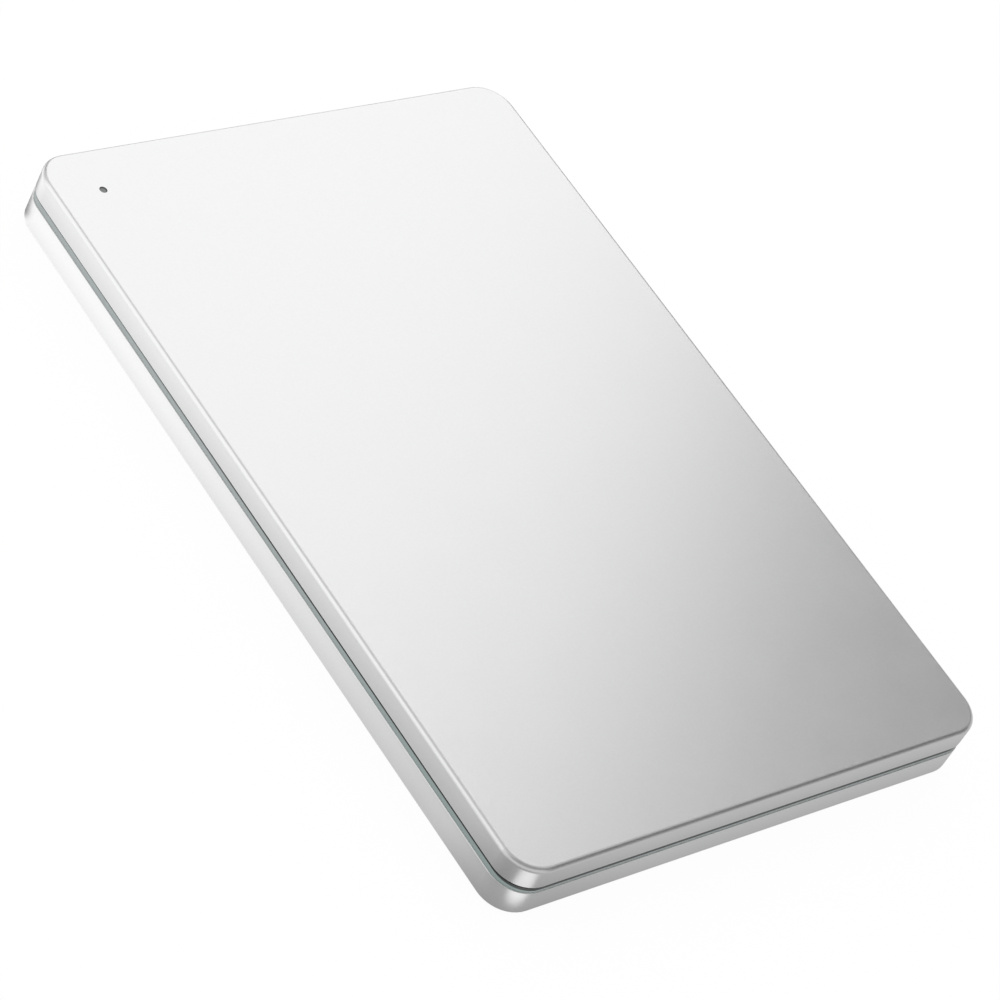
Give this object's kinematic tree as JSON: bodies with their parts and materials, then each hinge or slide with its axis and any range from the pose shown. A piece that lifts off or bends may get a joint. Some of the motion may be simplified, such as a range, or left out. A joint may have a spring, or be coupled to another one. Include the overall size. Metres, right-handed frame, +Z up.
{
  "type": "portable external hard drive",
  "caption": "Slim portable hard drive: satin aluminium top and bottom trays on a grey-green frame band, pinhole lamp, data port, and a disc drive with spinning disc and swinging heads.",
  "frame": {"origin": "centre of the face that the drive rests on", "axes": "+X across the case, +Y along the case towards the end with the port, +Z up"},
  "size_m": [0.076, 0.1146, 0.0086],
  "materials": {
    "satin_aluminium": "fine bead-blasted, clear anodised",
    "band_plastic": "grey-green, fine moulded texture",
    "light_pipe_plastic": "smoked, polished end",
    "adhesive_foam": "matt foam tape",
    "black_rubber": "matt moulded rubber",
    "cast_aluminium": "die-cast, dull coating",
    "milled_aluminium": "milled and turned",
    "lid_sheet": "rolled sheet, brushed along its length",
    "screw_steel": "plated screw steel",
    "spring_steel": "bright stamped sheet",
    "ground_steel": "ground and polished",
    "yoke_steel": "nickel-plated plate",
    "core_steel": "coated laminations",
    "bearing_bronze": "sintered bronze",
    "copper_wire": "enamelled winding",
    "bonded_magnet": "bonded magnet, matt",
    "plated_magnet": "nickel-plated",
    "disc_mirror": "polished recording surface",
    "green_laminate": "solder mask over laminate",
    "chip_epoxy": "moulded epoxy",
    "ceramic": "fired ceramic",
    "crystal_can": "plated can",
    "connector_plastic": "glass-filled moulding",
    "contact_gold": "gold-plated",
    "amber_film": "amber film",
    "filter_felt": "white felt",
    "ramp_plastic": "natural acetal",
    "lamp_lens": "small moulded lamp"
  },
  "bodies": {
    "case": {"air_filter": "filter_felt", "arm_stops": "black_rubber", "base_casting": "cast_aluminium", "board_capacitors": "ceramic", "bottom_cover": "satin_aluminium", "bottom_pad": "adhesive_foam", "bridge_board": "green_laminate", "bridge_chip": "chip_epoxy", "bridge_screws": "screw_steel", "clock_crystal": "crystal_can", "controller_board": "green_laminate", "controller_chip": "chip_epoxy", "controller_insulator": "amber_film", "controller_screws": "screw_steel", "drive_lid": "lid_sheet", "drive_plug": "connector_plastic", "drive_socket": "connector_plastic", "end_bumpers": "black_rubber", "flex_block": "connector_plastic", "flex_cable": "amber_film", "head_ramp": "ramp_plastic", "indicator_led": "lamp_lens", "lid_gasket": "black_rubber", "lid_screws": "screw_steel", "light_pipe": "light_pipe_plastic", "lower_magnet": "plated_magnet", "lower_yoke": "yoke_steel", "memory_chip": "chip_epoxy", "mid_frame": "band_plastic", "motor_chip": "chip_epoxy", "pivot_bearings": "ground_steel", "pivot_post": "ground_steel", "pivot_screw": "screw_steel", "port_contacts": "contact_gold", "port_insulator": "connector_plastic", "port_shell": "spring_steel", "ramp_screw": "screw_steel", "side_bumpers": "black_rubber", "spindle_bearing": "bearing_bronze", "stator_coils": "copper_wire", "stator_core": "core_steel", "top_cover": "satin_aluminium", "top_pad": "adhesive_foam", "upper_magnet": "plated_magnet", "upper_yoke": "yoke_steel"},
    "spindle": {"spindle_hub": "milled_aluminium", "spindle_shaft": "ground_steel", "rotor_magnet": "bonded_magnet", "disc_platter": "disc_mirror", "disc_clamp": "spring_steel", "clamp_screw": "screw_steel"},
    "actuator": {"actuator_arm": "milled_aluminium", "voice_coil": "copper_wire", "pivot_sleeve": "ground_steel", "upper_suspension": "spring_steel", "lower_suspension": "spring_steel", "upper_head": "ceramic", "lower_head": "ceramic"}
  },
  "joints": [
    {"name": "spindle_spin", "type": "hinge", "parent": "case", "child": "spindle", "pos_m": [0, -0.01919, 0.0052], "axis": [0, 0, 1], "continuous": true},
    {"name": "actuator_swing", "type": "hinge", "parent": "case", "child": "actuator", "pos_m": [0.012, 0.01841, 0.0052], "axis": [0, 0, 1], "range_deg": [0, 32]}
  ]
}
